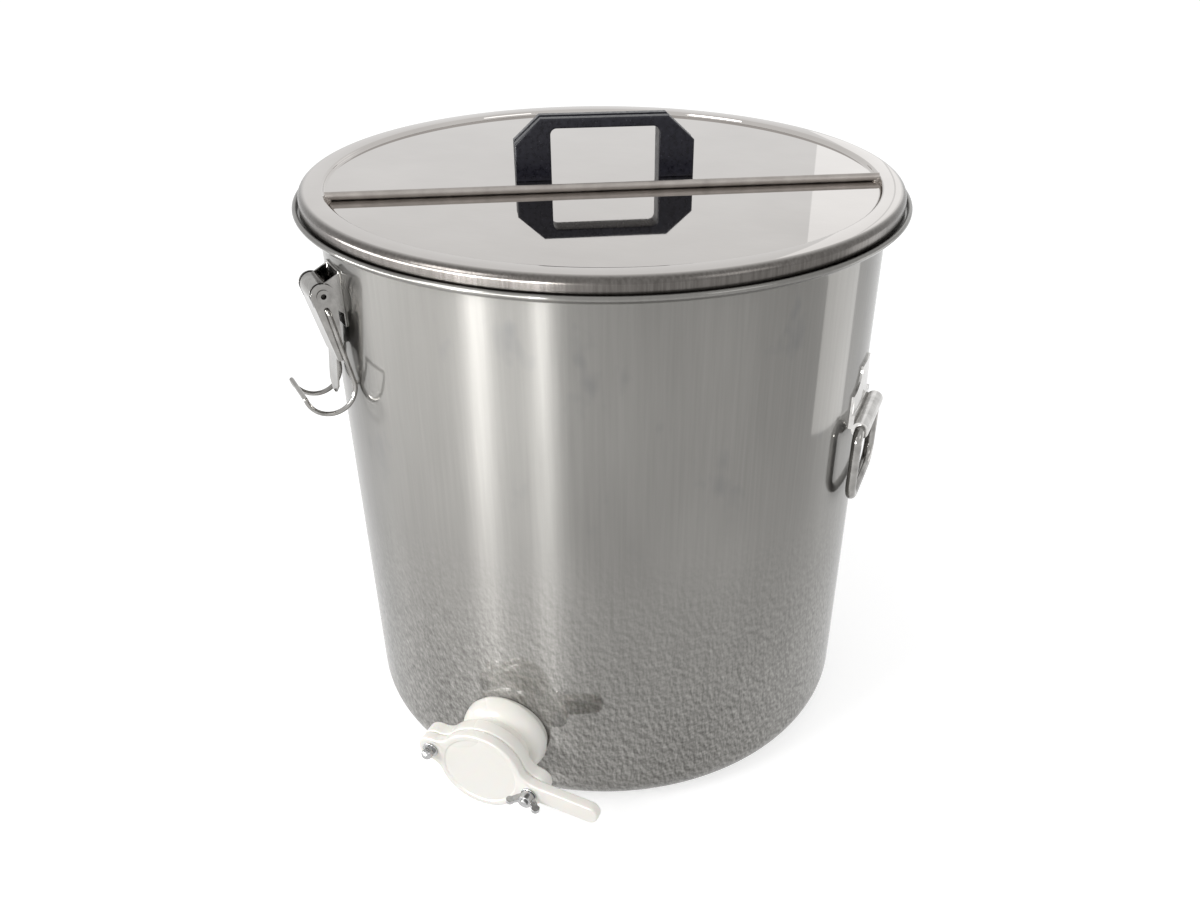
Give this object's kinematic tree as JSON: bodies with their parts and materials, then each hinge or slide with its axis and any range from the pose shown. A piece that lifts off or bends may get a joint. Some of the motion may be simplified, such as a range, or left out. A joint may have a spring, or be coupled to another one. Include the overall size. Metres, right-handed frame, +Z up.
{
  "type": "honey settling tank",
  "caption": "Stainless steel honey settling tank with a latched lid, a bridge handle, drop handles and a swing-blade nylon gate near its base.",
  "frame": {"origin": "centre of the tank's base, on the surface it stands on", "axes": "+Z up along the tank's axis; the gate faces -Y; the drop handles are on +X and -X"},
  "size_m": [0.4, 0.4412, 0.4345],
  "materials": {
    "tank_steel": "satin, mottled below",
    "lid_steel": "mirror polished",
    "bright_steel": "polished",
    "black_plastic": "semi gloss",
    "nylon": "soft gloss cream",
    "silicone": "matte",
    "zinc": "bright plated"
  },
  "bodies": {
    "tank": {"tank_shell": "tank_steel", "tank_rim": "tank_steel", "front_latch_base": "bright_steel", "front_latch_rivet": "bright_steel", "rear_latch_base": "bright_steel", "rear_latch_rivet": "bright_steel", "right_handle_bracket": "bright_steel", "left_handle_bracket": "bright_steel", "gate_body": "nylon", "gate_outer_gasket": "silicone", "gate_inner_gasket": "silicone", "gate_lock_nut": "nylon", "gate_pivot_bolt": "zinc", "gate_pivot_nut": "zinc", "gate_clamp_bolt": "zinc", "gate_washers": "zinc"},
    "lid": {"lid_panel": "lid_steel", "lid_ring": "lid_steel", "lid_rod": "bright_steel", "lid_handle": "black_plastic", "lid_handle_screws": "bright_steel", "lid_handle_washers": "bright_steel"},
    "front_lever": {"front_latch_lever": "bright_steel"},
    "front_bail": {"front_latch_bail": "bright_steel"},
    "rear_lever": {"rear_latch_lever": "bright_steel"},
    "rear_bail": {"rear_latch_bail": "bright_steel"},
    "right_handle": {"right_handle_bail": "bright_steel"},
    "left_handle": {"left_handle_bail": "bright_steel"},
    "blade": {"gate_blade": "nylon"},
    "wing_nut": {"gate_wing_nut": "zinc"}
  },
  "joints": [
    {"name": "lid_lift", "type": "slide", "parent": "tank", "child": "lid", "axis": [0, 0, 1], "range_m": [0, 0.15]},
    {"name": "front_lever_hinge", "type": "hinge", "parent": "tank", "child": "front_lever", "pos_m": [-0.12682, -0.15114, 0.354], "axis": [-0.766, 0.6428, 0], "range_deg": [0, 150]},
    {"name": "front_bail_hinge", "type": "hinge", "parent": "front_lever", "child": "front_bail", "pos_m": [-0.12624, -0.15045, 0.3452], "axis": [0.766, -0.6428, 0], "range_deg": [-175, 0]},
    {"name": "rear_lever_hinge", "type": "hinge", "parent": "tank", "child": "rear_lever", "pos_m": [0.12682, 0.15114, 0.354], "axis": [0.766, -0.6428, 0], "range_deg": [0, 150]},
    {"name": "rear_bail_hinge", "type": "hinge", "parent": "rear_lever", "child": "rear_bail", "pos_m": [0.12624, 0.15045, 0.3452], "axis": [-0.766, 0.6428, 0], "range_deg": [-175, 0]},
    {"name": "right_handle_hinge", "type": "hinge", "parent": "tank", "child": "right_handle", "pos_m": [0.1918, 0, 0.258], "axis": [0, -1, 0], "range_deg": [0, 170]},
    {"name": "left_handle_hinge", "type": "hinge", "parent": "tank", "child": "left_handle", "pos_m": [-0.1918, 0, 0.258], "axis": [0, 1, 0], "range_deg": [0, 170]},
    {"name": "gate_blade_hinge", "type": "hinge", "parent": "tank", "child": "blade", "pos_m": [-0.03612, -0.22505, 0.07201], "axis": [0, -1, 0], "range_deg": [0, 90]},
    {"name": "wing_nut_turn", "type": "hinge", "parent": "tank", "child": "wing_nut", "pos_m": [0.03612, -0.2334, 0.05599], "axis": [0, -1, 0], "range_deg": [0, 360]}
  ]
}
